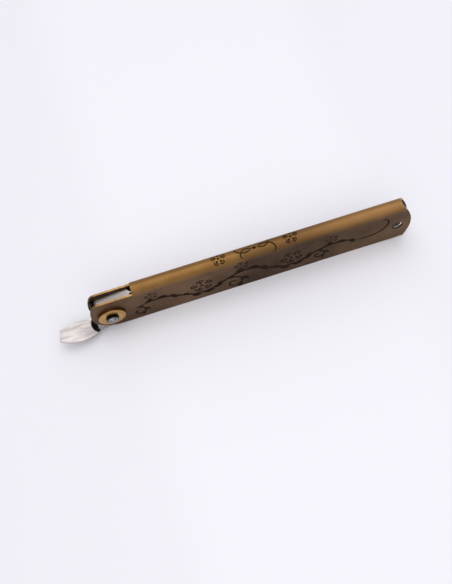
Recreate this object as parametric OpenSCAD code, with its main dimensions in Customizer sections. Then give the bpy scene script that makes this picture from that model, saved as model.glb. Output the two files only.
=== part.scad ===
// Friction folding pocket knife, closed, standing on its belly edges.
// A sheet-metal handle folded round the blade, a one-piece blade with a spoon lever,
// and one riveted pivot with a washer on each side.
// +X runs towards the lanyard end, +Y is the far cheek and +Z is the spine.
// The origin is the centre of the lanyard hole, midway between the cheeks.

/* [Handle] */
// Length of the folded handle
handle_l = 100; // [90:1:125]
// Height of the handle from the belly edges to the spine
handle_h = 17.9; // [17.2:0.1:20]
// Thickness of the folded sheet
sheet_t = 0.6; // [0.5:0.05:1]
// Depth of the notch where the spine is cut away at the front
notch_depth = 2.1; // [1.8:0.1:2.6]
// Radius of the cheek corner under the pivot
nose_low_r = 8.5; // [6:0.5:10]
// Radius of the bowed front edge of the cheeks
nose_bow_r = 16; // [14:1:30]
// Radius of the cheek corner at the front of the notch
nose_top_r = 2.2; // [0.5:0.1:3]
// Radius of the rounded rear end of the cheeks
tail_r = 17; // [13:0.5:24]
// Height of the rearmost point of the tail above the belly edges
tail_up = 7.8; // [7:0.1:9]
// Diameter of the lanyard hole
lanyard_d = 3.6; // [2.5:0.1:4.5]
// Distance of the lanyard hole from the rear end of the handle
lanyard_inset = 4.4; // [3.8:0.1:6]
// Height of the lanyard hole above the belly edges
lanyard_up = 7.4; // [6:0.1:9]

/* [Pivot] */
// Distance of the pivot from the front of the handle
pivot_inset = 6; // [5.6:0.1:6.4]
// Height of the pivot above the belly edges
pivot_up = 7.6; // [7.2:0.1:8]
// Diameter of the rivet shank
pin_d = 3; // [2:0.1:3.4]
// How far the peened rivet heads spread beyond the shank
head_spread = 0.35; // [0.2:0.05:0.8]
// Height of the rivet heads above the washers
head_h = 1; // [0.3:0.05:1.2]
// Height of the dome on the rivet heads
head_dome = 0.25; // [0.1:0.05:0.3]
// Diameter of the washers
washer_d = 8.4; // [6:0.1:9.4]
// Thickness of the washers
washer_t = 1; // [0.6:0.1:1.5]
// Radius of the washer rims
washer_rim_r = 0.35; // [0.1:0.05:0.5]

/* [Blade] */
// Thickness of the blade and its tang
blade_t = 2.6; // [2:0.1:3.2]
// Depth of the cutting edge below the cheek edges in the notch
edge_drop = 1.3; // [1:0.1:2]
// Height of the blade back above the belly edges
back_up = 0.9; // [0.3:0.1:2]
// Distance between the blade tip and the lanyard hole
tip_gap = 7.5; // [3:0.5:15]
// Length of the slanted point along the cutting edge
point_l = 22; // [12:1:30]
// Width of the ground bevel on each side
bevel_w = 8; // [5:0.5:10]
// Thickness left at the cutting edge
edge_t = 0.15; // [0.1:0.05:0.3]
// Distance from the pivot to the start of the bevel
ricasso_l = 6.4; // [5.6:0.1:7.2]
// Radius of the hollow where the bevel runs out
plunge_r = 1.5; // [1.3:0.1:3]

/* [Lever] */
// Distance of the tang's front edge behind the front of the cheeks
tang_inset = 0.9; // [0.6:0.1:1.6]
// Slope of the tang's top towards its front in degrees
tang_slope = 6.5; // [0:0.5:10]
// Radius of the top corner of the tang
tang_corner_r = 0.6; // [0.3:0.1:1.5]
// Radius of the rounded heel under the pivot
heel_r = 16; // [15:0.1:19]
// Length of the lever from its root
lever_l = 10.2; // [9:0.1:14]
// Greatest width of the lever
lever_w = 6.6; // [5:0.1:8]
// Distance from the lever's root to its widest place
lever_belly = 3.9; // [3:0.1:5]
// Radius of the lever's curved sides
lever_side_r = 12.5; // [11:0.5:20]
// Thickness of the lever along its middle
lever_t = 1; // [0.8:0.05:1.4]
// Radius of the curl along the lever
lever_curl_r = 200; // [80:10:400]
// Radius of the crown across the thumb side of the lever
lever_crown_r = 11; // [9:1:30]
// Radius of the fillet between the lever and the front of the tang
lever_fillet_r = 2; // [1.2:0.1:2.4]
// Slant of the lever's end in degrees
lever_end_slant = 13; // [0:1:18]
// Angle in degrees at which the opening blade stops, its lever on the spine
open_angle = 167; // [160:1:172]

/* [Fits] */
// Gap between the blade and each cheek
side_gap = 0.1; // [0.05:0.01:0.15]
// Radial gap between the rivet and the blade's bore
pin_gap = 0.05; // [0.02:0.01:0.09]
// Radial gap between the rivet and the cheeks and washers
seat_gap = 0.02; // [0.01:0.01:0.04]
// Gap between the open lever and the front end of the spine that it rests on
lever_gap = 0.08; // [0.05:0.01:0.2]
// How far the notch reaches behind the pivot, beyond the lever's root in front of it
notch_gap = 0.6; // [0.3:0.1:2]

/* [Hidden] */
$fn = 96;
// Overshoot of every cutting solid
cut = 1;
channel_w = blade_t + 2 * side_gap;
handle_t = channel_w + 2 * sheet_t;

// Landmarks in the part's frame
tail_x = lanyard_inset;
nose_x = tail_x - handle_l;
belly_z = -lanyard_up;
pivot_x = nose_x + pivot_inset;
pivot_z = belly_z + pivot_up;

// Lever's root measured from the pivot
tang_x = tang_inset - pivot_inset;
root_x = tang_x - lever_fillet_r;

// Notch measured from the front of the handle and from the belly edges
notch_l = pivot_inset - root_x + notch_gap;
notch_up = handle_h - notch_depth;

// Lever's height from the pivot: at the open angle its top face meets the front end of the spine
stop_x = notch_l - pivot_inset;
stop_z = handle_h - pivot_up;
lever_top_z = stop_x * sin(open_angle) + stop_z * cos(open_angle) - lever_gap;
lever_low_z = lever_top_z - lever_t;
curl_z = lever_top_z + lever_curl_r;

// Blade measured from the pivot
edge_z = notch_up - edge_drop - pivot_up;
tang_top_z = edge_z - (ricasso_l - tang_x) * tan(tang_slope);
back_z = back_up - pivot_up;
tip_x = -lanyard_d / 2 - tip_gap - pivot_x;
bevel_angle = atan((blade_t - edge_t) / 2 / bevel_w);

// Turns a profile drawn as length and height into a plate of thickness t about y = 0
module plate(t) {
    rotate([90, 0, 0])
        linear_extrude(height = t, center = true)
            children();
}

// Round bar of diameter d and length l along Y, centred on y = 0
module cross_bar(d, l) {
    rotate([90, 0, 0])
        cylinder(d = d, h = l, center = true);
}

// What is taken off a square corner at the origin to round it; the material lies towards +X +Y
module corner_waste(r) {
    difference() {
        translate([-cut, -cut])
            square(r + cut);
        translate([r, r])
            circle(r);
    }
}

// Folded sheet seen from the end: straight cheeks with a half-round spine
module fold_section() {
    difference() {
        fold_outline(handle_t, 0);
        fold_outline(channel_w, cut);
    }
}

// Half-round topped strip of width w, reaching below the belly edges by overshoot
module fold_outline(w, overshoot) {
    fold_up = handle_h - handle_t / 2;
    translate([-w / 2, -overshoot])
        square([w, fold_up + overshoot]);
    translate([0, fold_up])
        circle(d = w);
}

// Outline of a cheek seen from the side, from the front and the belly
module cheek_outline() {
    difference() {
        intersection() {
            square([handle_l, handle_h]);
            translate([handle_l - tail_r, tail_up])
                union() {
                    circle(tail_r);
                    translate([-handle_l, -handle_h])
                        square([handle_l, 2 * handle_h]);
                }
            translate([nose_bow_r, nose_low_r])
                union() {
                    circle(nose_bow_r);
                    translate([0, -handle_h])
                        square([handle_l, 2 * handle_h]);
                    translate([-nose_bow_r, -handle_h])
                        square([handle_l, handle_h]);
                }
        }
        corner_waste(nose_low_r);
        translate([-cut, notch_up])
            square([notch_l + cut, handle_h]);
        nose_top_waste();
    }
}

// What is taken off the cheek to blend its bowed front into the notch
module nose_top_waste() {
    inner_r = nose_bow_r - nose_top_r;
    mid_z = notch_up - nose_top_r;
    mid_x = nose_bow_r - sqrt(pow(inner_r, 2) - pow(mid_z - nose_low_r, 2));
    outward = [mid_x - nose_bow_r, mid_z - nose_low_r] / inner_r;
    reach = nose_top_r + cut;
    translate([mid_x, mid_z])
        difference() {
            polygon([[0, 0], [0, reach], [-reach, reach], reach * outward]);
            circle(nose_top_r);
        }
}

// Sheet folded into a channel, open along the belly and cut away over the pivot
module handle() {
    color("#8a6d45")
        difference() {
            translate([nose_x, 0, belly_z])
                intersection() {
                    rotate([90, 0, 90])
                        linear_extrude(height = handle_l)
                            fold_section();
                    plate(handle_t + 2 * cut)
                        cheek_outline();
                }
            translate([pivot_x, 0, pivot_z])
                cross_bar(pin_d + 2 * seat_gap, handle_t + 2 * cut);
            cross_bar(lanyard_d, handle_t + 2 * cut);
        }
}

// Blade with a sloping tang, a straight edge and a slanted point, measured from the pivot
module blade_outline() {
    polygon([
        [tang_x, tang_top_z],
        [ricasso_l, edge_z],
        [tip_x, edge_z],
        [tip_x - point_l, back_z],
        [tang_x, back_z]
    ]);
}

// Rounded heel that carries the lever below the belly, with a hollow fillet up to the tang
module heel_outline() {
    intersection() {
        translate([root_x, lever_low_z + heel_r])
            circle(heel_r);
        union() {
            translate([root_x, lever_low_z])
                square([heel_r, lever_t]);
            translate([tang_x, lever_low_z])
                square([heel_r, -lever_low_z]);
        }
    }
    difference() {
        translate([root_x, lever_top_z - lever_t / 2])
            square([lever_fillet_r, lever_fillet_r + lever_t / 2]);
        translate([root_x, lever_top_z + lever_fillet_r])
            circle(lever_fillet_r);
    }
}

// What is taken off the front corner of the tang's sloping top to round it
module tang_corner_waste() {
    mid_z = tang_top_z + tang_corner_r * (tan(tang_slope) - 1 / cos(tang_slope));
    outward = [-sin(tang_slope), cos(tang_slope)];
    reach = tang_corner_r + cut;
    translate([tang_x + tang_corner_r, mid_z])
        difference() {
            polygon([[0, 0], [-reach, 0], [-reach, reach], reach * outward]);
            circle(tang_corner_r);
        }
}

// Tang, heel and blade are one plate with a pivot bore
module blade_plate() {
    difference() {
        plate(blade_t)
            difference() {
                union() {
                    blade_outline();
                    heel_outline();
                }
                tang_corner_waste();
            }
        cross_bar(pin_d + 2 * pin_gap, blade_t + 2 * cut);
        bevel_waste();
        mirror([0, 1, 0])
            bevel_waste();
    }
}

// Ground away on the +Y side: a plane that leans towards the edge, with a hollow run-out
module bevel_waste() {
    grind_l = tip_x - ricasso_l + cut;
    translate([ricasso_l, edge_t / 2, edge_z])
        rotate([180 + bevel_angle, 0, 0])
            translate([0, 0, -cut])
                linear_extrude(height = bevel_w + 2 * cut)
                    mirror([0, 1]) {
                        translate([plunge_r, 0])
                            square([grind_l, blade_t]);
                        translate([0, plunge_r])
                            square([grind_l, blade_t]);
                        translate([plunge_r, plunge_r])
                            circle(plunge_r);
                    }
}

// Lever spread crosswise at the end of the tang: curled along its length, crowned underneath
module lever() {
    intersection() {
        translate([root_x, 0, curl_z])
            rotate([90, 0, 0])
                rotate_extrude($fn = 360)
                    lever_section();
        translate([0, 0, lever_low_z - cut])
            linear_extrude(height = lever_w + cut)
                lever_outline();
    }
}

// Lever cut across, measured outwards from the centre of its curl
module lever_section() {
    intersection() {
        translate([lever_curl_r, -lever_w / 2])
            square([lever_t, lever_w]);
        translate([lever_curl_r + lever_t - lever_crown_r, 0])
            circle(lever_crown_r);
    }
}

// Lever seen from above: two curved sides that narrow to the tang, and a slanted end
module lever_outline() {
    side_y = lever_side_r - lever_w / 2;
    intersection() {
        intersection_for (side = [-1, 1])
            translate([root_x - lever_belly, side * side_y])
                circle(lever_side_r);
        translate([root_x - lever_l, 0])
            rotate(-lever_end_slant)
                translate([0, -lever_w])
                    square([lever_l + lever_fillet_r, 2 * lever_w]);
    }
}

// One piece of steel: blade, tang, heel and lever
module blade() {
    color("#c9c6c4")
        translate([pivot_x, 0, pivot_z]) {
            blade_plate();
            lever();
        }
}

// Half of the rivet's outline, from its middle to a domed head
module rivet_section() {
    shank_end = handle_t / 2 + washer_t;
    head_r = pin_d / 2 + head_spread;
    dome_r = (pow(head_r, 2) + pow(head_dome, 2)) / (2 * head_dome);
    square([pin_d / 2, shank_end]);
    intersection() {
        translate([0, shank_end])
            square([head_r, head_h]);
        translate([0, shank_end + head_h - dome_r])
            circle(dome_r);
    }
}

// Steel rivet through the washers, the cheeks and the tang, peened at both ends
module pivot_rivet() {
    color("#a9a7ab")
        translate([pivot_x, 0, pivot_z])
            rotate([90, 0, 0])
                rotate_extrude() {
                    rivet_section();
                    mirror([0, 1])
                        rivet_section();
                }
}

// Brass washer seated on the cheek at y = 0 and facing -Y
module washer() {
    bore_r = pin_d / 2 + seat_gap;
    rotate([90, 0, 0])
        rotate_extrude()
            difference() {
                translate([bore_r, 0])
                    square([washer_d / 2 - bore_r, washer_t]);
                translate([washer_d / 2, washer_t])
                    mirror([1, 1])
                        corner_waste(washer_rim_r);
            }
}

// Washer on the near cheek
module washer_near() {
    color("#c89b52")
        translate([pivot_x, -handle_t / 2, pivot_z])
            washer();
}

// Washer on the far cheek
module washer_far() {
    color("#c89b52")
        translate([pivot_x, handle_t / 2, pivot_z])
            mirror([0, 1, 0])
                washer();
}

handle();
blade();
pivot_rivet();
washer_near();
washer_far();
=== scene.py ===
"""Looks of a friction folding knife: a folded, engraved brass handle and a forged steel blade."""

import logging
import math
from dataclasses import dataclass
from enum import Enum
from typing import Any, Callable, Iterable, Sequence

import bmesh
import bpy
from mathutils import Matrix, Vector


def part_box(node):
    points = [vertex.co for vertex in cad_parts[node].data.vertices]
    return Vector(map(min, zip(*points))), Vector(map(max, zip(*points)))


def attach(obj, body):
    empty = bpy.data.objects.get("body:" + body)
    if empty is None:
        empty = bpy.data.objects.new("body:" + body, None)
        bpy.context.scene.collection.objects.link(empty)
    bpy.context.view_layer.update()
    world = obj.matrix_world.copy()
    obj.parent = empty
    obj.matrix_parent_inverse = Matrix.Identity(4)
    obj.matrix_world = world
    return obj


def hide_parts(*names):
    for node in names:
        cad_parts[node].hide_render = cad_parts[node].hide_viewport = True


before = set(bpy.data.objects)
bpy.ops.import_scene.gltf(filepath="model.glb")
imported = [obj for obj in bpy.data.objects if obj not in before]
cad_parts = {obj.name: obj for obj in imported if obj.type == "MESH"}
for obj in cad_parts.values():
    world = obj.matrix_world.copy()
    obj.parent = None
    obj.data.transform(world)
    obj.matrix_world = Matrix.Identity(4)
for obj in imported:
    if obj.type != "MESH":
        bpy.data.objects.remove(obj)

Point = tuple[float, float]
Path = tuple[Point, ...]
Triple = tuple[float, float, float]
Colour = tuple[float, float, float, float]
Tree = bpy.types.NodeTree
Socket = bpy.types.NodeSocket
Piece = bpy.types.Object
Placer = Callable[[float, float, float], Vector]

LOG = logging.getLogger("friction_folding_knife")
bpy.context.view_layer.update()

# A millimetre in metres, and a metre in millimetres
MM = 0.001
METRE = 1000.0
# Corners nearer than this, in metres, are one corner
WELD = 1e-6
# Triangles that lean less than this, in degrees, are one flat face
FLAT = 0.05

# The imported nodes' lowest and highest corners, in millimetres
HANDLE = [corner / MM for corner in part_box("handle")]
BLADE = [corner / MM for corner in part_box("blade")]
WASHER = [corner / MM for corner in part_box("washer_near")]
RIVET = [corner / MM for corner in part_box("pivot_rivet")]
FRONT, BELLY = HANDLE[0].x, HANDLE[0].z
HEAD_RADIUS = (RIVET[1].x - RIVET[0].x) / 2
# Where the pivot's axis crosses the plane between the cheeks
PIVOT = ((WASHER[0].x + WASHER[1].x) / 2, 0.0, (WASHER[0].z + WASHER[1].z) / 2)


def linear(colour: str) -> Colour:
    """Turns an sRGB hex value into the linear colour that shaders take.

    Args:
        colour: Six hex digits, such as "a57d50".

    Returns:
        Red, green, blue and an alpha of 1.
    """
    parts = [int(colour[i:i + 2], 16) / 255 for i in (0, 2, 4)]
    red, green, blue = (p / 12.92 if p <= 0.04045 else ((p + 0.055) / 1.055) ** 2.4 for p in parts)
    return red, green, blue, 1.0


def add_node(tree: Tree, kind: str, inputs: dict[str | int, Any] | None = None,
             **options: Any) -> bpy.types.Node:
    """Adds a shader node with its options, its socket values and its links.

    Args:
        tree: The node tree that takes the node.
        kind: The node's type name without its "ShaderNode" start.
        inputs: Socket names or numbers, each with a value or with the output socket that feeds it.
        options: Properties of the node itself.

    Returns:
        The new node.
    """
    node = tree.nodes.new("ShaderNode" + kind)
    for name, value in options.items():
        setattr(node, name, value)
    for name, value in (inputs or {}).items():
        if isinstance(value, Socket):
            tree.links.new(value, node.inputs[name])
        else:
            node.inputs[name].default_value = value
    return node


def pick(piece: Piece) -> None:
    """Makes one object the only selected and the active one.

    Args:
        piece: The object to work on.
    """
    bpy.ops.object.select_all(action="DESELECT")
    piece.select_set(True)
    bpy.context.view_layer.objects.active = piece


def apply_modifier(piece: Piece, kind: str, **options: Any) -> None:
    """Adds a modifier to an object and applies it.

    Args:
        piece: The object to change.
        kind: The modifier's type.
        options: The modifier's settings.
    """
    pick(piece)
    bpy.ops.object.modifier_add(type=kind)
    modifier = piece.modifiers[-1]
    for name, value in options.items():
        setattr(modifier, name, value)
    bpy.ops.object.modifier_apply(modifier=modifier.name)


def bench_copy(node: str, name: str) -> Piece:
    """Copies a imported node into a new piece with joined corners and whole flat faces, ready to be worked.

    Args:
        node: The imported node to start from.
        name: The new piece's name.

    Returns:
        The new piece, at the origin like the node.
    """
    piece = bpy.data.objects.new(name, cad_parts[node].data.copy())
    bpy.context.scene.collection.objects.link(piece)
    piece.data.materials.clear()
    pick(piece)
    bpy.ops.mesh.customdata_custom_splitnormals_clear()
    bpy.ops.object.mode_set(mode="EDIT")
    bpy.ops.mesh.select_all(action="SELECT")
    bpy.ops.mesh.remove_doubles(threshold=WELD)
    bpy.ops.mesh.dissolve_limited(angle_limit=math.radians(FLAT))
    bpy.ops.object.mode_set(mode="OBJECT")
    return piece


def soften(piece: Piece, angle: float) -> None:
    """Shades a piece smooth up to an angle, with its large faces kept flat beside their rounded edges.

    Args:
        piece: The piece to shade.
        angle: The sharpest edge, in degrees, that still shades smooth.
    """
    pick(piece)
    bpy.ops.object.shade_smooth_by_angle(angle=math.radians(angle))
    apply_modifier(piece, "WEIGHTED_NORMAL", keep_sharp=True, weight=80)


def weigh_edges(piece: Piece, weight: Callable[[Vector, float], float]) -> None:
    """Gives each edge the share of the bevel width that it takes.

    Args:
        piece: The piece whose edges are weighed.
        weight: Takes an edge's middle in millimetres and the angle between its faces in degrees.
    """
    mesh = bmesh.new()
    mesh.from_mesh(piece.data)
    shares = mesh.edges.layers.float.new("bevel_weight_edge")
    for edge in mesh.edges:
        middle = (edge.verts[0].co + edge.verts[1].co) / 2 / MM
        edge[shares] = weight(middle, math.degrees(edge.calc_face_angle(0.0)))
    mesh.to_mesh(piece.data)
    mesh.free()


@dataclass
class Surface:
    """A material in the making: its node tree, the piece's coordinates in metres and its patterns."""

    tree: Tree
    place: Socket
    clouds: Socket | None = None
    marks: Socket | None = None

    def coat(self, under: Colour | Socket, *coats: tuple[Socket, Colour | Socket]) -> Socket:
        """Lays coats of colour over a ground, one over another.

        Args:
            under: The ground's colour.
            coats: The share from 0 to 1 that each coat covers, with its colour.

        Returns:
            The colour that is seen.
        """
        for share, colour in coats:
            mixed = add_node(self.tree, "Mix", {"Factor": share, 6: under, 7: colour}, data_type="RGBA")
            under = mixed.outputs[2]
        return under

    def away(self, middle: Sequence[float], axes: Sequence[int]) -> Socket:
        """Measures how far the surface lies from a point, along some of the axes only.

        Args:
            middle: The point in millimetres, with 0 along an axis that doesn't count.
            axes: 1 for an axis that counts and 0 for one that doesn't.

        Returns:
            The distance in millimetres.
        """
        flat = add_node(self.tree, "Mapping", {
            "Vector": self.place, "Scale": [axis * METRE for axis in axes],
            "Location": [-value for value in middle]}).outputs["Vector"]
        return add_node(self.tree, "VectorMath", {0: flat}, operation="LENGTH").outputs["Value"]

    def off_axis(self) -> Socket:
        """Finds the faces that look away from the pivot's axis.

        Returns:
            A share that is 1 on those faces and 0 on faces across the axis.
        """
        normal = add_node(self.tree, "TexCoord").outputs["Normal"]
        across = add_node(self.tree, "SeparateXYZ", {"Vector": normal}).outputs["Y"]
        facing = add_node(self.tree, "Math", {0: across}, operation="ABSOLUTE").outputs["Value"]
        return add_node(self.tree, "MapRange", {"Value": facing, "From Min": 0.8, "From Max": 0.4},
                        interpolation_type="SMOOTHSTEP").outputs["Result"]


class Grain(Enum):
    """Which of the three axes the scratches of a brushed or ground metal run along."""

    ALONG = (True, False, False)
    ACROSS = (False, True, True)


@dataclass(frozen=True)
class Scratches:
    """Fine parallel marks that an abrasive leaves in metal, in millimetres."""

    length: float
    # The real marks are a few hundredths wide, and are drawn coarser so that they show
    width: float
    depth: float
    grain: Grain = Grain.ALONG

    def scale(self) -> tuple[float, ...]:
        """Returns the pattern's scale per metre along each axis."""
        return tuple(METRE / (self.length if runs else self.width) for runs in self.grain.value)


@dataclass(frozen=True)
class SatinMetal:
    """A metal surface with clouds of tone, abrasive marks and a fine grit. Sizes are in millimetres."""

    name: str
    light: str
    dark: str
    cloud: float
    roughness: tuple[float, float]
    scratches: Scratches
    # The real grit is a few hundredths wide, and is drawn coarser so that it breaks up the shine
    grit: float = 0.3
    grit_depth: float = 0.004
    scratch_tone: float = 0.25
    stretch: float = 1.0

    def clouds(self, surface: Surface) -> Socket:
        """Draws the soft patches of the two tones.

        Args:
            surface: The material in the making.

        Returns:
            A share from 0 where the metal is dark to 1 where it is light.
        """
        drawn = add_node(surface.tree, "Mapping", {
            "Vector": surface.place, "Scale": (1 / self.stretch, 1, 1)})
        noise = add_node(surface.tree, "TexNoise", {
            "Vector": drawn.outputs["Vector"], "Scale": METRE / self.cloud, "Detail": 5.0, "Roughness": 0.6})
        return add_node(surface.tree, "MapRange", {
            "Value": noise.outputs["Fac"], "From Min": 0.3, "From Max": 0.7},
            interpolation_type="SMOOTHSTEP").outputs["Result"]

    def marks(self, surface: Surface) -> Socket:
        """Draws the abrasive marks.

        Args:
            surface: The material in the making.

        Returns:
            A height from 0 to 1.
        """
        drawn = add_node(surface.tree, "Mapping", {"Vector": surface.place, "Scale": self.scratches.scale()})
        return add_node(surface.tree, "TexNoise", {
            "Vector": drawn.outputs["Vector"], "Scale": 1.0, "Detail": 4.0, "Roughness": 0.7}).outputs["Fac"]

    def tone(self, surface: Surface) -> Socket:
        """Colours the metal: its two tones in clouds, with the marks drawn a little darker.

        Args:
            surface: The material in the making, with its clouds and marks.

        Returns:
            The colour.
        """
        deep = add_node(surface.tree, "MapRange", {
            "Value": surface.marks, "From Min": 0.62, "From Max": 0.3, "To Max": self.scratch_tone})
        return surface.coat(linear(self.dark), (surface.clouds, linear(self.light)),
                            (deep.outputs["Result"], linear(self.dark)))

    def relief(self, surface: Surface) -> Socket:
        """Roughens the surface with the abrasive marks and the grit.

        Args:
            surface: The material in the making, with its marks.

        Returns:
            The surface's normal.
        """
        lines = add_node(surface.tree, "Bump", {
            "Height": surface.marks, "Distance": self.scratches.depth * MM, "Strength": 1.0})
        grit = add_node(surface.tree, "TexNoise", {
            "Vector": surface.place, "Scale": METRE / self.grit, "Detail": 2.0})
        return add_node(surface.tree, "Bump", {
            "Height": grit.outputs["Fac"], "Distance": self.grit_depth * MM, "Strength": 1.0,
            "Normal": lines.outputs["Normal"]}).outputs["Normal"]

    def build(self) -> bpy.types.Material:
        """Builds the material on the piece's own coordinates.

        Returns:
            The finished material.
        """
        material = bpy.data.materials.new(self.name)
        material.use_nodes = True
        tree = material.node_tree
        tree.nodes.clear()
        surface = Surface(tree, add_node(tree, "TexCoord").outputs["Object"])
        surface.clouds = self.clouds(surface)
        surface.marks = self.marks(surface)
        smooth, rough = self.roughness
        sheen = add_node(tree, "MapRange", {"Value": surface.clouds, "To Min": rough, "To Max": smooth})
        shader = add_node(tree, "BsdfPrincipled", {
            "Base Color": self.tone(surface), "Roughness": sheen.outputs["Result"], "Metallic": 1.0,
            "Normal": self.relief(surface)})
        add_node(tree, "OutputMaterial", {"Surface": shader.outputs["BSDF"]})
        return material


@dataclass(frozen=True)
class RubbedPatina(SatinMetal):
    """Sheet brass darkened in a patina bath, then rubbed back to gold along the fold, with a painted
    reflection that darkens its middle.

    The crest of the fold's rear half is coloured lighter, a painted highlight.
    """

    rubbed_light: str = "906c40"
    rubbed_dark: str = "79592f"
    rub_from: float = 6.6
    rub_to: float = 9.6
    # Painted highlight: the crest of the fold's rear half is coloured lighter, between these places along
    # and up the handle
    crest_highlight_light: str = "9c774c"
    crest_highlight_dark: str = "977247"
    crest_highlight_from: float = -60.0
    crest_highlight_to: float = -28.0
    crest_highlight_low: float = 8.4
    crest_highlight_high: float = 10.0
    # Painted reflection: round the middle of the handle the colour is darkened towards this brown
    deep: str = "2a170c"
    reflection_dark_share: float = 0.42
    reflection_dark_middle: float = -36.0
    reflection_dark_reach: float = 25.0
    patch: float = 27.0
    patch_share: float = 0.55

    def clouds(self, surface: Surface) -> Socket:
        """Draws small clouds over broad patches, where the bath took less or more.

        Args:
            surface: The material in the making.

        Returns:
            A share from 0 where the metal is dark to 1 where it is light.
        """
        broad = add_node(surface.tree, "TexNoise", {
            "Vector": surface.place, "Scale": METRE / self.patch, "Detail": 1.0})
        patches = add_node(surface.tree, "MapRange", {
            "Value": broad.outputs["Fac"], "From Min": 0.36, "From Max": 0.62},
            interpolation_type="SMOOTHSTEP")
        return add_node(surface.tree, "Mix", {
            "Factor": self.patch_share, 2: super().clouds(surface), 3: patches.outputs["Result"]}).outputs[0]

    def tone(self, surface: Surface) -> Socket:
        """Colours the cheeks grey-brown and the rubbed fold golden, with a painted reflection that darkens
        both in the middle and a painted highlight on the rear of the crest.

        Args:
            surface: The material in the making, with its clouds and marks.

        Returns:
            The colour.
        """
        parts = add_node(surface.tree, "SeparateXYZ", {"Vector": surface.place}).outputs
        away = surface.away((self.reflection_dark_middle, 0, 0), (1, 0, 0))
        rubbed, rear, crest, deep = (
            add_node(surface.tree, "MapRange", {
                "Value": value, "From Min": start, "From Max": end, "To Max": most},
                interpolation_type="SMOOTHSTEP").outputs["Result"]
            for value, start, end, most in (
                (parts["Z"], self.rub_from * MM, self.rub_to * MM, 1.0),
                (parts["X"], self.crest_highlight_from * MM, self.crest_highlight_to * MM, 1.0),
                (parts["Z"], self.crest_highlight_low * MM, self.crest_highlight_high * MM, 1.0),
                (away, self.reflection_dark_reach, 0.0, self.reflection_dark_share)))
        # Painted highlight on the rear of the crest
        crest_highlight = add_node(surface.tree, "Math", {0: rear, 1: crest}, operation="MULTIPLY").outputs["Value"]
        bright = surface.coat(linear(self.crest_highlight_dark), (surface.clouds, linear(self.crest_highlight_light)))
        gold = surface.coat(linear(self.rubbed_dark), (surface.clouds, linear(self.rubbed_light)),
                            (crest_highlight, bright))
        # The darker middle is a painted reflection
        return surface.coat(super().tone(surface), (rubbed, gold), (deep, linear(self.deep)))


@dataclass(frozen=True)
class TurnedBrass(SatinMetal):
    """Brass faced on a lathe: rings of tool marks, with painted shade on the rim and in a dark ring in the
    corner by the rivet.
    """

    middle: Triple = PIVOT
    # The real rings are a few hundredths apart, and are drawn coarser so that they show
    ring: float = 0.13
    head: float = HEAD_RADIUS
    # Painted shade: the rim's faces are coloured this browner tone
    rim_shade: str = "7a5636"
    # Painted shade: a dark ring on the washer round the rivet's head
    ring_shade: str = "2b1e11"
    ring_shade_full: float = 0.05
    ring_shade_reach: float = 0.45

    def marks(self, surface: Surface) -> Socket:
        """Draws the tool marks as rings.

        Args:
            surface: The material in the making.

        Returns:
            A height from 0 to 1.
        """
        out = surface.away(self.middle, (1, 0, 1))
        return add_node(surface.tree, "TexNoise", {"W": out, "Scale": 1 / self.ring, "Detail": 3.0},
                        noise_dimensions="1D").outputs["Fac"]

    def tone(self, surface: Surface) -> Socket:
        """Colours the washer gold, with painted shade as a browner rim and as a dark ring round the rivet's
        head.

        Args:
            surface: The material in the making, with its clouds and marks.

        Returns:
            The colour.
        """
        out = surface.away(self.middle, (1, 0, 1))
        ring = add_node(surface.tree, "MapRange", {
            "Value": out, "From Min": self.head + self.ring_shade_reach,
            "From Max": self.head + self.ring_shade_full, "To Max": 0.9},
            interpolation_type="SMOOTHSTEP").outputs["Result"]
        # Both the browner rim and the dark ring are painted shade
        return surface.coat(super().tone(surface), (surface.off_axis(), linear(self.rim_shade)),
                            (ring, linear(self.ring_shade)))


@dataclass(frozen=True)
class PeenedSteel(SatinMetal):
    """Steel spread with a ball hammer: small overlapping facets, bright on their crowns and dull between."""

    facet: float = 0.55
    middle: Triple = PIVOT
    crown: float = HEAD_RADIUS - 0.45
    # Painted shade: the head's outer band, past the crown, is coloured this dark
    crown_edge_shade: str = "2a221c"
    crown_edge_shade_blur: float = 0.25
    # Partly oxide and partly painted shade: the head's flank is coloured nearly black
    flank_oxide_and_shade: str = "15110e"

    def marks(self, surface: Surface) -> Socket:
        """Draws the hammer's facets.

        Args:
            surface: The material in the making.

        Returns:
            A height from 0 to 1.
        """
        return add_node(surface.tree, "TexVoronoi", {
            "Vector": surface.place, "Scale": METRE / self.facet, "Smoothness": 0.6},
            feature="SMOOTH_F1").outputs["Distance"]

    def tone(self, surface: Surface) -> Socket:
        """Colours the head mottled, with painted shade darkening it outside its crown, and black on its
        flank, partly oxide and partly painted shade.

        Args:
            surface: The material in the making, with its clouds and facets.

        Returns:
            The colour.
        """
        out = surface.away(self.middle, (1, 0, 1))
        dull = add_node(surface.tree, "MapRange", {
            "Value": out, "From Min": self.crown, "From Max": self.crown + self.crown_edge_shade_blur, "To Max": 0.8},
            interpolation_type="SMOOTHSTEP").outputs["Result"]
        # The dark band past the crown is painted shade, and the black flank is oxide and painted shade
        return surface.coat(super().tone(surface), (dull, linear(self.crown_edge_shade)),
                            (surface.off_axis(), linear(self.flank_oxide_and_shade)))


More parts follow.
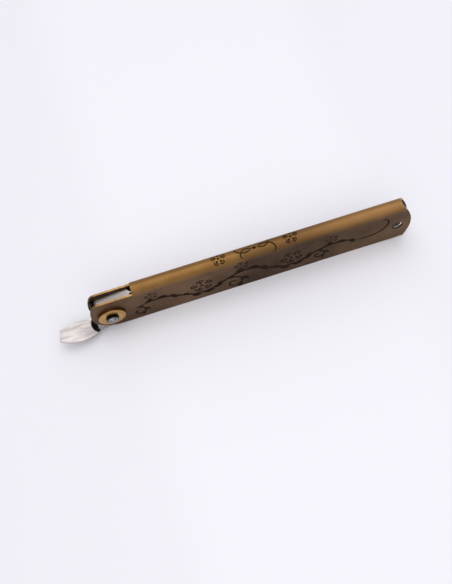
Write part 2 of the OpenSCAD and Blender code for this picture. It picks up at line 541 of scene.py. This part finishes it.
@dataclass(frozen=True)
class ForgedSteel(SatinMetal):
    """Ground steel, coloured near black in the corner between the tang and the lever as painted shade."""

    # Painted shade: the corner's faces are coloured this near black
    scale: str = "141110"
    shade_front: float = FRONT + 2.7
    front_blur: float = 0.7
    shade_middle: Point = (FRONT + 2.1, 0.7)
    shade_radius: float = 3.4
    radius_blur: float = 0.15

    def tone(self, surface: Surface) -> Socket:
        """Colours the steel bright outside a round patch of painted shade, near black, in the corner between
        the tang and the lever.

        Args:
            surface: The material in the making, with its clouds and marks.

        Returns:
            The colour.
        """
        along = add_node(surface.tree, "SeparateXYZ", {"Vector": surface.place}).outputs["X"]
        out = surface.away((*self.shade_middle, 0), (1, 1, 0))
        front, blur = self.shade_front * MM, self.front_blur * MM
        left = surface.off_axis()
        for value, start, end in ((along, front + blur, front - blur),
                                  (out, self.shade_radius + self.radius_blur,
                                   self.shade_radius - self.radius_blur)):
            share = add_node(surface.tree, "MapRange", {"Value": value, "From Min": start, "From Max": end},
                             interpolation_type="SMOOTHSTEP").outputs["Result"]
            left = add_node(surface.tree, "Math", {0: left, 1: share}, operation="MULTIPLY").outputs["Value"]
        # The near-black patch is painted shade
        return surface.coat(super().tone(surface), (left, linear(self.scale)))


# Sheet brass browned in a patina bath: a soft grey-brown satin with long faint lines, golden on the fold
PATINA = RubbedPatina(
    "patinated_sheet_brass", light="755a3f", dark="4c3724", cloud=7.0, roughness=(0.5, 0.6),
    scratches=Scratches(14.0, 0.22, 0.012))
# Brass cut through and filed across: thin gold lines round the openings
CUT_EDGE = SatinMetal(
    "filed_brass_edge", light="b5915f", dark="8f6e46", cloud=2.0, roughness=(0.32, 0.45),
    scratches=Scratches(2.0, 0.12, 0.01, Grain.ACROSS))
# Brass corner rubbed half through its patina: a seam between the brown skin and the gold cut
WORN_EDGE = SatinMetal(
    "worn_brass_corner", light="7c5e3a", dark="5c4329", cloud=1.6, roughness=(0.28, 0.42),
    scratches=Scratches(4.0, 0.2, 0.008))
# Rolled brass coloured a dull dark brown as painted shade inside the channel and on the lanyard hole's wall,
# which makes the channel look deep
INSIDE = SatinMetal(
    "shaded_brass_inside", light="6d5746", dark="42342a", cloud=3.0, roughness=(0.5, 0.7),
    scratches=Scratches(10.0, 0.3, 0.01))
# Brass cut with a graver and blackened in the bath: matt lines, nearly black
BLACKENED_CUT = SatinMetal(
    "blackened_cut", light="33241a", dark="1c140e", cloud=0.8, roughness=(0.6, 0.8),
    scratches=Scratches(0.4, 0.4, 0.01))
# Carbon steel ground lengthwise: a grey satin with long streaks
FLAT_STEEL = ForgedSteel(
    "ground_steel_flat", light="b5aeaa", dark="a19a96", cloud=2.2, stretch=9.0, roughness=(0.32, 0.4),
    scratches=Scratches(12.0, 0.16, 0.014))
# Carbon steel ground crosswise on a stone: a lighter, tighter shine than the flats have
BEVEL_STEEL = SatinMetal(
    "ground_steel_bevel", light="d6d2cf", dark="c6c1be", cloud=3.0, roughness=(0.22, 0.28),
    scratches=Scratches(9.0, 0.16, 0.014, Grain.ACROSS))
# Carbon steel filed and polished by hand: a pale, faintly streaked shine
LEVER_STEEL = ForgedSteel(
    "hand_polished_steel", light="cbc5c2", dark="a8a2a0", cloud=1.4, stretch=4.0, roughness=(0.36, 0.44),
    scratches=Scratches(5.0, 0.16, 0.008))
# Brass turned on a lathe: a warm gold with fine rings
TURNED_BRASS = TurnedBrass(
    "turned_brass", light="c9a062", dark="ab8149", cloud=1.8, roughness=(0.28, 0.4),
    scratches=Scratches(1.0, 0.2, 0.008))
# Mild steel peened cold: mottled grey facets that catch the light one by one
PEENED_STEEL = PeenedSteel(
    "peened_steel", light="b9b7bb", dark="66646a", cloud=0.7, roughness=(0.3, 0.5),
    scratches=Scratches(1.0, 0.2, 0.03))


class Swell(Enum):
    """How a cut's width swells from its start to its end. The value is its depth over half its width."""

    LINE = 0.36
    LEAF = 0.2
    PETAL = 0.12

    def share(self, along: float) -> float:
        """Finds the width at a place along the cut, as a share of the full width.

        Args:
            along: 0 at the start of the cut and 1 at its end.

        Returns:
            A share from just over 0 to 1.
        """
        bulge = math.sin(math.pi * along)
        forms = {Swell.LINE: min(1.0, 0.25 + 2.2 * bulge), Swell.LEAF: math.sin(math.pi * along ** 0.8),
                 Swell.PETAL: math.sqrt(max(0.0, 1 - (2 * along - 1) ** 2))}
        return max(forms[self], 0.05)


@dataclass(frozen=True)
class Cut:
    """One cut of the graver: its path on the flat metal and its width, in millimetres."""

    path: Path
    width: float
    swell: Swell


def swirl(root: Point, heading: float, length: float, wide: float, tight: float, side: int,
          steps: int = 30) -> Path:
    """Draws a path that turns to one side with a radius that goes evenly from wide to tight.

    Args:
        root: Where the path starts.
        heading: Its first direction in degrees.
        length: Its length.
        wide: Radius at its start.
        tight: Radius at its end.
        side: 1 turns to the left and -1 to the right.
        steps: Number of straight bits.

    Returns:
        The path's points.
    """
    points = [root]
    angle = math.radians(heading)
    bit = length / steps
    for i in range(steps):
        angle += side * bit / (wide + (tight - wide) * (i + 0.5) / steps)
        last = points[-1]
        points.append((last[0] + math.cos(angle) * bit, last[1] + math.sin(angle) * bit))
    return tuple(points)


def around(centre: Point, radius: float, angle: float) -> Point:
    """Returns the point at a radius and an angle in degrees from a centre."""
    turn = math.radians(angle)
    return centre[0] + radius * math.cos(turn), centre[1] + radius * math.sin(turn)


def bow(centre: Point, radius: float, start: float, end: float, steps: int = 12) -> Path:
    """Returns an arc round a centre from one angle to another, in degrees."""
    return tuple(around(centre, radius, start + (end - start) * i / steps) for i in range(steps + 1))


def straight(start: Point, end: Point, steps: int = 8) -> Path:
    """Returns a straight path between two points."""
    return tuple((start[0] + (end[0] - start[0]) * i / steps, start[1] + (end[1] - start[1]) * i / steps)
                 for i in range(steps + 1))


@dataclass(frozen=True)
class Blossom:
    """A blossom: petals as open bows with a broad vein each, round a solid heart.

    Its inner sizes are shares of its radius, and its angles are in degrees.
    """

    centre: Point
    radius: float
    turn: float
    petals: int = 5
    heart: float = 0.17
    petal_out: float = 0.68
    petal_radius: float = 0.3
    petal_reach: float = 112.0
    petal_width: float = 0.16
    vein_start: float = 0.32
    vein_end: float = 0.86
    vein_width: float = 0.3

    def at(self, share: float, angle: float) -> Point:
        """Returns the point at a share of the radius and an angle."""
        return around(self.centre, self.radius * share, angle)

    def cuts(self) -> list[Cut]:
        """Draws the blossom.

        Returns:
            The cuts, none of which touches another.
        """
        heart = straight(self.at(self.heart, 180), self.at(self.heart, 0), steps=10)
        cuts = [Cut(heart, self.radius * self.heart * 2, Swell.PETAL)]
        for k in range(self.petals):
            out = self.turn + 360 / self.petals * k
            petal = bow(self.at(self.petal_out, out), self.radius * self.petal_radius,
                        out - self.petal_reach, out + self.petal_reach)
            vein = straight(self.at(self.vein_start, out), self.at(self.vein_end, out))
            cuts += [Cut(petal, self.radius * self.petal_width, Swell.LINE),
                     Cut(vein, self.radius * self.vein_width, Swell.LEAF)]
        return cuts


@dataclass
class Scroll:
    """Running vine with swirls, leaves and blossoms, laid out flat along the near cheek in millimetres."""

    start: float
    lobes: int = 5
    period: float = 28.0
    middle: float = -0.7
    swing_least: float = 1.5
    swing_more: float = 1.5
    stem_width: float = 0.78
    stem_steps: int = 120
    tendril_width: float = 0.62
    # A leaf's width as a share of its length
    leaf_plump: float = 0.45
    # Where a swirl leaves the vine, as a share of the lobe before its crest, and by what angle
    swirl_root: float = 0.47
    swirl_lean: float = 3.0
    # The small blossom of a crest: its radius, its distance behind the crest and its gap over the vine
    small_radius: float = 1.6
    small_growth: float = 0.6
    small_back: float = 1.0
    small_gap: float = 0.9
    small_rise: float = 1.1
    small_turn: float = 30.0
    # The large blossom of a dip: its radius, its distance past the dip and its gap over the vine
    large_radius: float = 2.2
    large_growth: float = 1.3
    large_ahead: float = 0.3
    large_gap: float = 2.1
    large_rise: float = 2.5
    large_turn: float = 90.0
    large_twist: float = 10.0
    back_lean: float = 42.0
    # Each leaf on a swirl's back: the step of the swirl that it grows from, and its length
    back_leaves: tuple[tuple[int, float], ...] = ((11, 3.8), (18, 3.3))
    # Each leaf on the vine: its place in the lobe, its lean in degrees, and its length at full size
    outer_leaves: tuple[Triple, ...] = ((-0.22, 38, 3.9), (0.03, 30, 4.3), (0.27, 26, 3.5))
    inner_leaves: tuple[Triple, ...] = ((-0.42, 40, 2.6), (0.36, 40, 3.0))

    @property
    def half(self) -> float:
        """Length of one lobe."""
        return self.period / 2

    @property
    def end(self) -> float:
        """Where the vine stops waving."""
        return self.start + self.lobes * self.half

    def swing(self, u: float) -> float:
        """Returns how far the vine swings from its middle line at u."""
        share = math.sin(math.pi * (u - self.start) / (self.end - self.start))
        return self.swing_least + self.swing_more * share

    def height(self, u: float) -> float:
        """Returns the height of the vine at u."""
        return self.middle + self.swing(u) * math.sin(2 * math.pi * (u - self.start) / self.period)

    def slope(self, u: float, step: float = 0.05) -> float:
        """Returns the direction of the vine at u, in degrees."""
        return math.degrees(math.atan2(self.height(u + step) - self.height(u - step), 2 * step))

    def leaf(self, root: Point, heading: float, length: float, side: int) -> Cut:
        """Returns a leaf that grows from root and bends to one side."""
        path = swirl(root, heading, length, wide=4.5, tight=3.0, side=side, steps=12)
        return Cut(path, length * self.leaf_plump, Swell.LEAF)

    def leaf_row(self, crest: float, size: float, side: int, row: Iterable[Triple]) -> list[Cut]:
        """Grows the leaves on one side of a lobe.

        Args:
            crest: Place of the lobe's crest along the handle.
            size: Share of the full size.
            side: 1 on the vine's left and -1 on its right.
            row: Place, lean and length of each leaf.

        Returns:
            The leaves.
        """
        grown = 0.5 + 0.5 * size
        places = ((crest + shift * self.half, lean, length * grown) for shift, lean, length in row)
        return [self.leaf((u, self.height(u)), self.slope(u) + side * lean, length, -side)
                for u, lean, length in places]

    def swirl_lobe(self, crest: float, size: float) -> tuple[Cut, list[Cut]]:
        """Fills the hollow under a lobe with a swirl that has leaves on its back.

        Args:
            crest: Place of the lobe's crest along the handle.
            size: Share of the full size.

        Returns:
            The swirl and its leaves.
        """
        u = crest - self.half * self.swirl_root
        path = swirl((u, self.height(u)), self.slope(u) - self.swirl_lean, length=17.5 * size,
                     wide=4.3 * size, tight=0.75, side=-1, steps=36)
        leaves = []
        for place, length in self.back_leaves:
            here, there = path[place], path[place + 1]
            heading = math.degrees(math.atan2(there[1] - here[1], there[0] - here[0]))
            leaves.append(self.leaf(here, heading + self.back_lean, length * size, -1))
        return Cut(path, self.tendril_width, Swell.LINE), leaves

    def layers(self) -> list[list[Cut]]:
        """Lays the whole scroll out.

        Returns:
            Layers of cuts. Cuts of one layer don't touch, and layers may.
        """
        length = self.end - self.start
        places = [self.start + length * i / self.stem_steps for i in range(self.stem_steps + 1)]
        stem = tuple((u, self.height(u)) for u in places)
        tail = swirl(stem[-1], self.slope(self.end - 0.1), length=16.0, wide=12.0, tight=1.2, side=1)
        tendrils, leaves, inner, blooms = [], [], [], []
        for i in range(self.lobes):
            crest = self.start + self.half * (i + 0.5)
            size = self.swing(crest) / (self.swing_least + self.swing_more)
            if i % 2 == 0:
                # A small blossom sits over the crest, and a swirl fills the hollow under it
                side, turn = 1, self.small_turn
                radius = self.small_radius + self.small_growth * size
                centre = (crest - self.small_back,
                          self.height(crest) + self.small_gap + self.small_rise * radius)
                tendril, backs = self.swirl_lobe(crest, size)
                tendrils.append(tendril)
                leaves += backs
            else:
                # A large blossom fills the hollow over the dip
                side, turn = -1, self.large_turn + self.large_twist * i
                radius = self.large_radius + self.large_growth * size
                centre = (crest + self.large_ahead,
                          self.height(crest) + self.large_gap + self.large_rise * size)
            blooms += Blossom(centre, radius, turn).cuts()
            leaves += self.leaf_row(crest, size, side, self.outer_leaves)
            inner += self.leaf_row(crest, size, -side, self.inner_leaves)
        return [[Cut(stem, self.stem_width, Swell.LINE)], tendrils,
                [Cut(tail, self.tendril_width, Swell.LINE)], leaves, inner, blooms]


@dataclass
class SpineBand:
    """Two blossoms and a turned flourish along the crest of the fold, in millimetres."""

    middle: float
    reach: float = 11.0
    radius: float = 2.1
    root: float = 0.9
    lean: float = 32.0
    heart: float = 0.7
    heart_width: float = 0.8
    wave_width: float = 0.38
    curl_width: float = 0.32

    def layers(self) -> list[list[Cut]]:
        """Lays the band out.

        Returns:
            Layers of cuts. Cuts of one layer don't touch, and layers may.
        """
        roses, waves, curls = [], [], []
        for side, heading in ((-1, 180), (1, 0)):
            root = (self.middle + side * self.root, 0.0)
            wave = swirl(root, heading + self.lean, length=9.0, wide=5.0, tight=0.8, side=-1)
            curl = swirl(root, heading - self.lean, length=6.0, wide=3.6, tight=0.6, side=1, steps=26)
            roses += Blossom((self.middle + side * self.reach, 0.0), self.radius, turn=90).cuts()
            waves.append(Cut(wave, self.wave_width, Swell.LINE))
            curls.append(Cut(curl, self.curl_width, Swell.LINE))
        heart = straight((self.middle - self.heart, 0.0), (self.middle + self.heart, 0.0))
        return [roses, waves, curls, [Cut(heart, self.heart_width, Swell.LEAF)]]


class HandleSlot(Enum):
    """Material slots of the handle."""

    OUTSIDE = 0
    CUT = 1
    CORNER = 2
    INSIDE = 3
    ENGRAVED = 4


@dataclass
class FoldedHandle:
    """The handle: one strip of sheet brass folded round the spine, with its bare cuts and its engraving."""

    corner: float = 0.13
    corner_angle: float = 40.0
    smooth_angle: float = 32.0
    hole_reach: float = 3.0
    nose_reach: float = 4.0
    nose_facing: float = 0.25
    skin_facing: float = 0.7
    scroll_gap: float = 2.5
    band_shift: float = 1.4
    graver_top: float = 0.6
    graver_floor: float = 0.55
    spine: float = HANDLE[1].z
    # The fold's outer radius is half the handle's thickness
    fold_radius: float = HANDLE[1].y
    piece: Piece | None = None

    @property
    def fold_height(self) -> float:
        """Height of the fold's centre line."""
        return self.spine - self.fold_radius

    def slot_of(self, centre: Vector, normal: Vector) -> HandleSlot:
        """Tells the outer skin, the inner skin and the bare cuts apart.

        The lanyard hole's wall takes the inside's painted shade, and the cheeks' front edges have kept the
        skin's patina.

        Args:
            centre: A face's middle in millimetres.
            normal: The face's normal.

        Returns:
            The slot that the face takes.
        """
        outward = Vector((0, centre.y, max(0.0, centre.z - self.fold_height))).normalized()
        facing = normal.dot(outward)
        if facing > self.skin_facing:
            return HandleSlot.OUTSIDE
        # Inner faces and the lanyard hole's wall take the inside's painted shade
        if facing < -self.skin_facing or math.hypot(centre.x, centre.z) < self.hole_reach:
            return HandleSlot.INSIDE
        on_nose = normal.x < -self.nose_facing and centre.x < FRONT + self.nose_reach
        return HandleSlot.OUTSIDE if on_nose else HandleSlot.CUT

    def fold(self) -> None:
        """Takes the folded sheet from the frame, sorts its faces and rounds its corners."""
        self.piece = bench_copy("handle", "folded_handle")
        for finish in (PATINA, CUT_EDGE, WORN_EDGE, INSIDE, BLACKENED_CUT):
            self.piece.data.materials.append(finish.build())
        for polygon in self.piece.data.polygons:
            polygon.material_index = self.slot_of(polygon.center / MM, polygon.normal).value
        apply_modifier(self.piece, "BEVEL", width=self.corner * MM, segments=2, limit_method="ANGLE",
                       angle_limit=math.radians(self.corner_angle), material=HandleSlot.CORNER.value)

    def on_cheek(self, u: float, v: float, out: float) -> Vector:
        """Returns the place on the near cheek, in metres, of a flat point and its height over the metal."""
        return Vector((u, -(self.fold_radius + out), v)) * MM

    def on_fold(self, u: float, v: float, out: float) -> Vector:
        """Returns the place on the fold, in metres, of a flat point and its height over the metal."""
        turn, radius = v / self.fold_radius, self.fold_radius + out
        return Vector((u, radius * math.sin(turn), self.fold_height + radius * math.cos(turn))) * MM

    def graver_bars(self, strokes: Sequence[Cut], swell: Swell) -> Piece:
        """Draws strokes of one form as closed bars with the graver's trapezoid section, still flat.

        Args:
            strokes: The cuts, all of one form.
            swell: That form, which gives the depth.

        Returns:
            A mesh in millimetres.
        """
        section = bpy.data.curves.new("graver_point", "CURVE")
        outline = section.splines.new("POLY")
        corners = ((-1, self.graver_top), (1, self.graver_top), (1, 0), (self.graver_floor, -swell.value),
                   (-self.graver_floor, -swell.value), (-1, 0))
        outline.points.add(len(corners) - 1)
        outline.use_cyclic_u = True
        for knot, (across, up) in zip(outline.points, corners):
            knot.co = (across, up, 0, 1)
        profile = bpy.data.objects.new("graver_point", section)
        curve = bpy.data.curves.new("graver_path", "CURVE")
        curve.dimensions = "2D"
        curve.fill_mode = "NONE"
        curve.bevel_mode = "OBJECT"
        curve.bevel_object = profile
        curve.use_fill_caps = True
        for cut in strokes:
            spline = curve.splines.new("POLY")
            last = len(cut.path) - 1
            spline.points.add(last)
            for i, (knot, (u, v)) in enumerate(zip(spline.points, cut.path)):
                knot.co = (u, v, 0, 1)
                knot.radius = cut.width / 2 * swell.share(i / last)
        bars = bpy.data.objects.new("graver_path", curve)
        bpy.context.scene.collection.objects.link(profile)
        bpy.context.scene.collection.objects.link(bars)
        pick(bars)
        bpy.ops.object.convert(target="MESH")
        bpy.data.objects.remove(profile)
        return bars

    def cutter(self, cuts: Sequence[Cut], place: Placer) -> Piece:
        """Makes the solid that a layer of cuts takes out of the metal.

        Args:
            cuts: The cuts, none of which touches another.
            place: Takes a flat point and a height over the metal to its place on the handle.

        Returns:
            A mesh of one closed bar for each cut.
        """
        groups = ((swell, [cut for cut in cuts if cut.swell is swell]) for swell in Swell)
        made = [self.graver_bars(strokes, swell) for swell, strokes in groups if strokes]
        solid = made[0]
        pick(solid)
        for bars in made[1:]:
            bars.select_set(True)
        if len(made) > 1:
            bpy.ops.object.join()
        for vertex in solid.data.vertices:
            vertex.co = place(*vertex.co)
        bpy.ops.object.mode_set(mode="EDIT")
        bpy.ops.mesh.select_all(action="SELECT")
        bpy.ops.mesh.remove_doubles(threshold=WELD)
        bpy.ops.mesh.normals_make_consistent(inside=False)
        bpy.ops.object.mode_set(mode="OBJECT")
        return solid

    def engrave(self, layers: Iterable[Sequence[Cut]], place: Placer) -> None:
        """Cuts layers of strokes into the handle and blackens them.

        Args:
            layers: Layers of cuts. Cuts of one layer don't touch.
            place: Takes a flat point and a height over the metal to its place on the handle.
        """
        for cuts in layers:
            solid = self.cutter(cuts, place)
            solid.data.materials.clear()
            for material in self.piece.data.materials:
                solid.data.materials.append(material)
            for polygon in solid.data.polygons:
                polygon.material_index = HandleSlot.ENGRAVED.value
            apply_modifier(self.piece, "BOOLEAN", object=solid, operation="DIFFERENCE", solver="MANIFOLD")
            bpy.data.objects.remove(solid)

    def build(self) -> list[Piece]:
        """Folds, engraves and smooths the handle, and hands it to its body.

        Returns:
            The finished piece.
        """
        self.fold()
        scroll = Scroll(start=WASHER[1].x + self.scroll_gap)
        self.engrave(scroll.layers(), self.on_cheek)
        band = SpineBand(middle=(HANDLE[0].x + HANDLE[1].x) / 2 + self.band_shift)
        self.engrave(band.layers(), self.on_fold)
        soften(self.piece, self.smooth_angle)
        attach(self.piece, "handle_assembly")
        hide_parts("handle")
        return [self.piece]


class BladeSlot(Enum):
    """Material slots of the blade."""

    FLAT = 0
    BEVEL = 1
    LEVER = 2


@dataclass
class ForgedBlade:
    """The blade in one piece with its tang and its thumb lever."""

    corner: float = 0.15
    smooth_angle: float = 28.0
    # How far a bevel's normal leans up or down, and how far it still faces sideways
    bevel_lean: Point = (0.02, 0.6)
    bevel_facing: float = 0.5
    edge_angle: float = 35.0
    edge_band: float = 0.4
    edge_start: float = 12.0
    blade_share: float = 0.45
    lever_drop: float = 0.5
    lever_reach: float = 3.5
    edge_height: float = BLADE[1].z
    piece: Piece | None = None

    def on_lever(self, centre: Vector) -> bool:
        """Tells whether a place is on the lever, in front of the handle or under its nose."""
        return centre.z < BELLY - self.lever_drop and centre.x < FRONT + self.lever_reach

    def slot_of(self, centre: Vector, normal: Vector) -> BladeSlot:
        """Tells the lever, the ground bevels and the flats apart.

        Args:
            centre: A face's middle in millimetres.
            normal: The face's normal. A bevel's leans a little from the pivot's axis.

        Returns:
            The slot that the face takes.
        """
        if self.on_lever(centre):
            return BladeSlot.LEVER
        least, most = self.bevel_lean
        ground = least < abs(normal.z) < most and abs(normal.y) > self.bevel_facing
        return BladeSlot.BEVEL if ground else BladeSlot.FLAT

    def corner_share(self, middle: Vector, angle: float) -> float:
        """Finds how far an edge is rounded: fully on the lever, less on the blade, not at all where it cuts.

        Args:
            middle: The edge's middle in millimetres.
            angle: The angle between its faces in degrees.

        Returns:
            A share of the corner size.
        """
        cutting = middle.z > self.edge_height - self.edge_band and middle.x > FRONT + self.edge_start
        if angle < self.edge_angle or cutting:
            return 0.0
        return 1.0 if self.on_lever(middle) else self.blade_share

    def build(self) -> list[Piece]:
        """Takes the blade from the frame, sorts its faces, rounds its corners and hands it to its body.

        Returns:
            The finished piece.
        """
        self.piece = bench_copy("blade", "forged_blade")
        for finish in (FLAT_STEEL, BEVEL_STEEL, LEVER_STEEL):
            self.piece.data.materials.append(finish.build())
        for polygon in self.piece.data.polygons:
            polygon.material_index = self.slot_of(polygon.center / MM, polygon.normal).value
        weigh_edges(self.piece, self.corner_share)
        apply_modifier(self.piece, "BEVEL", width=self.corner * MM, segments=3, limit_method="WEIGHT")
        soften(self.piece, self.smooth_angle)
        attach(self.piece, "blade")
        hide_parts("blade")
        return [self.piece]


@dataclass
class Pivot:
    """The rivet and its two washers, which hold the blade between the cheeks."""

    washers: tuple[str, ...] = ("washer_near", "washer_far")
    rivet: str = "pivot_rivet"

    def build(self) -> list[Piece]:
        """Gives the washers their turned brass and the rivet its hammered steel.

        Returns:
            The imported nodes, with their meshes as they were.
        """
        dressed = []
        for names, finish in ((self.washers, TURNED_BRASS), ((self.rivet,), PEENED_STEEL)):
            material = finish.build()
            for name in names:
                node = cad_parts[name]
                node.data.materials.clear()
                node.data.materials.append(material)
                dressed.append(node)
        return dressed


def direction(azimuth: float, elevation: float) -> Vector:
    """Returns the way to an azimuth, 0 in front and 90 at the rear end, and an elevation, in degrees."""
    a, e = math.radians(azimuth), math.radians(elevation)
    return Vector((math.sin(a) * math.cos(e), -math.cos(a) * math.cos(e), math.sin(e)))


@dataclass
class Studio:
    """A plain pale floor, soft light and the photograph's camera. Lengths are in millimetres.

    The belly of the handle stands on the floor, which falls away softly under the nose and a little under
    the tail. So the thumb lever hangs free, as in the photograph, and the open blade has room.
    """

    floor_reach: float = 2000.0
    nose_crest: float = FRONT + 20.0
    tail_crest: float = -11.0
    crest_length: float = 16.0
    nose_slope: float = 60.0
    tail_slope: float = 3.0
    foot_length: float = 60.0
    fall: float = 0.28
    bend_steps: int = 16
    smooth_angle: float = 30.0
    floor_colour: str = "eae8ea"
    sky_colour: str = "f6f7ff"
    sky_middle: Triple = (0.05, 0.1, 0.99)
    sky_low: float = 0.14
    sky_high: float = 1.05
    turn: float = -9.144
    tilt: float = 64.780
    roll: float = -9.209
    distance: float = 295.005
    shift_right: float = 8.119
    shift_up: float = 8.252
    focal: float = 60.740
    target: float = -45.0

    def floor_steps(self, slope: float) -> list[Point]:
        """Walks out from the level middle: over the crest, down the slope and out onto the low floor.

        Args:
            slope: Length of the even slope between crest and foot.

        Returns:
            How far each step goes out and down.
        """
        bends = [(i + 0.5) / self.bend_steps for i in range(self.bend_steps)]
        run = self.crest_length / self.bend_steps
        steps = [(run, run * self.fall * share) for share in bends]
        steps.append((slope, slope * self.fall))
        run = self.foot_length / self.bend_steps
        steps += [(run, run * self.fall * (1 - share)) for share in bends]
        return steps + [(self.floor_reach, 0.0)]

    def lay_floor(self) -> None:
        """Lays the floor: a level strip whose front and rear edges are drawn out down the slopes."""
        bpy.ops.object.select_all(action="DESELECT")
        middle = (self.nose_crest + self.tail_crest) / 2
        bpy.ops.mesh.primitive_plane_add(size=1, location=(middle * MM, 0, BELLY * MM))
        floor = bpy.context.active_object
        floor.name = "floor"
        floor.scale = ((self.tail_crest - self.nose_crest) * MM, 2 * self.floor_reach * MM, 1)
        bpy.ops.object.transform_apply(location=True, scale=True)
        ends = ((self.nose_crest, -1, self.nose_slope), (self.tail_crest, 1, self.tail_slope))
        for crest, way, slope in ends:
            bpy.ops.object.mode_set(mode="EDIT")
            bpy.ops.mesh.select_mode(type="EDGE")
            bpy.ops.mesh.select_all(action="DESELECT")
            bpy.ops.object.mode_set(mode="OBJECT")
            for edge in floor.data.edges:
                edge.select = all(abs(floor.data.vertices[i].co.x - crest * MM) < MM for i in edge.vertices)
            bpy.ops.object.mode_set(mode="EDIT")
            for out, down in self.floor_steps(slope):
                step = (way * out * MM, 0, -down * MM)
                bpy.ops.mesh.extrude_region_move(TRANSFORM_OT_translate={"value": step})
            bpy.ops.object.mode_set(mode="OBJECT")
        bpy.ops.object.mode_set(mode="EDIT")
        bpy.ops.mesh.select_all(action="SELECT")
        # The sheet is open, and this way round it faces up
        bpy.ops.mesh.normals_make_consistent(inside=True)
        bpy.ops.object.mode_set(mode="OBJECT")
        soften(floor, self.smooth_angle)
        floor.data.materials.append(self.pale_card())

    def pale_card(self) -> bpy.types.Material:
        """Builds the floor's matt card, which is clear from below so that the underside can be looked at.

        Returns:
            The finished material.
        """
        material = bpy.data.materials.new("pale_card")
        material.use_nodes = True
        tree = material.node_tree
        tree.nodes.clear()
        card = add_node(tree, "BsdfPrincipled", {"Base Color": linear(self.floor_colour), "Roughness": 0.9})
        under = add_node(tree, "NewGeometry").outputs["Backfacing"]
        clear = add_node(tree, "BsdfTransparent")
        both = add_node(tree, "MixShader", {0: under, 1: card.outputs["BSDF"], 2: clear.outputs["BSDF"]})
        add_node(tree, "OutputMaterial", {"Surface": both.outputs["Shader"]})
        return material

    def light_world(self) -> None:
        """Lights the scene like a photo tent, bright overhead, with a pale backdrop for camera and metal."""
        world = bpy.data.worlds.new("tent")
        bpy.context.scene.world = world
        world.use_nodes = True
        tree = world.node_tree
        tree.nodes.clear()
        way = add_node(tree, "TexCoord").outputs["Generated"]
        facing = add_node(tree, "VectorMath", {0: way, 1: self.sky_middle}, operation="DOT_PRODUCT")
        glow = add_node(tree, "MapRange", {
            "Value": facing.outputs["Value"], "From Min": -0.1, "From Max": 0.9, "To Min": self.sky_low,
            "To Max": self.sky_high}, interpolation_type="SMOOTHSTEP").outputs["Result"]
        sky = add_node(tree, "Background", {"Color": linear(self.sky_colour), "Strength": glow})
        backdrop = add_node(tree, "Background", {"Color": linear(self.floor_colour), "Strength": 1.0})
        ray = add_node(tree, "LightPath").outputs
        seen = ray["Is Camera Ray"]
        for kind in ("Is Glossy Ray", "Is Transmission Ray"):
            seen = add_node(tree, "Math", {0: seen, 1: ray[kind]}, operation="MAXIMUM").outputs["Value"]
        both = add_node(tree, "MixShader", {
            0: seen, 1: sky.outputs["Background"], 2: backdrop.outputs["Background"]})
        add_node(tree, "OutputWorld", {"Surface": both.outputs["Shader"]})

    def hang_softbox(self, name: str, azimuth: float, elevation: float, distance: float, size: float,
                     watts: float) -> None:
        """Hangs a square soft light that faces the knife.

        Args:
            name: The light's name.
            azimuth: Direction round the knife in degrees, 0 in front and 90 at its rear end.
            elevation: Height over the floor in degrees.
            distance: Distance in metres.
            size: Side of the light in metres.
            watts: Power in watts.
        """
        away = direction(azimuth, elevation)
        bpy.ops.object.light_add(type="AREA", location=Vector((self.target * MM, 0, 0)) + away * distance)
        light = bpy.context.active_object
        light.name = name
        light.rotation_euler = away.to_track_quat("Z", "Y").to_euler()
        light.data.shape = "SQUARE"
        light.data.size = size
        light.data.energy = watts

    def set_camera(self) -> None:
        """Puts the camera where the photograph was taken from."""
        back, level = direction(self.turn, self.tilt), direction(self.turn + 90, 0)
        upright = back.cross(level)
        roll = math.radians(self.roll)
        right = level * math.cos(roll) + upright * math.sin(roll)
        up = upright * math.cos(roll) - level * math.sin(roll)
        shift = right * self.shift_right + up * self.shift_up
        place = Vector((self.target, 0, 0)) + back * self.distance - shift
        data = bpy.data.cameras.new("camera")
        data.lens = self.focal
        data.sensor_width = 36.0
        data.clip_start = 0.01
        camera = bpy.data.objects.new("camera", data)
        bpy.context.scene.collection.objects.link(camera)
        turned = Matrix((right, up, back)).transposed().to_4x4()
        camera.matrix_world = Matrix.Translation(place * MM) @ turned
        bpy.context.scene.camera = camera

    def build(self) -> None:
        """Sets the whole studio up."""
        bpy.context.scene.view_settings.view_transform = "Standard"
        self.set_camera()
        self.lay_floor()
        self.light_world()
        self.hang_softbox("key", azimuth=170, elevation=84, distance=0.6, size=0.4, watts=1.0)
        self.hang_softbox("fill", azimuth=-10, elevation=52, distance=0.7, size=0.5, watts=0.7)


def main() -> None:
    """Sets the studio up and builds the knife's pieces in order."""
    logging.basicConfig(level=logging.INFO, format="%(name)s: %(message)s")
    Studio().build()
    for part in (FoldedHandle(), ForgedBlade(), Pivot()):
        for piece in part.build():
            LOG.info("%s: %d faces", piece.name, len(piece.data.polygons))


if __name__ == "__main__":
    main()
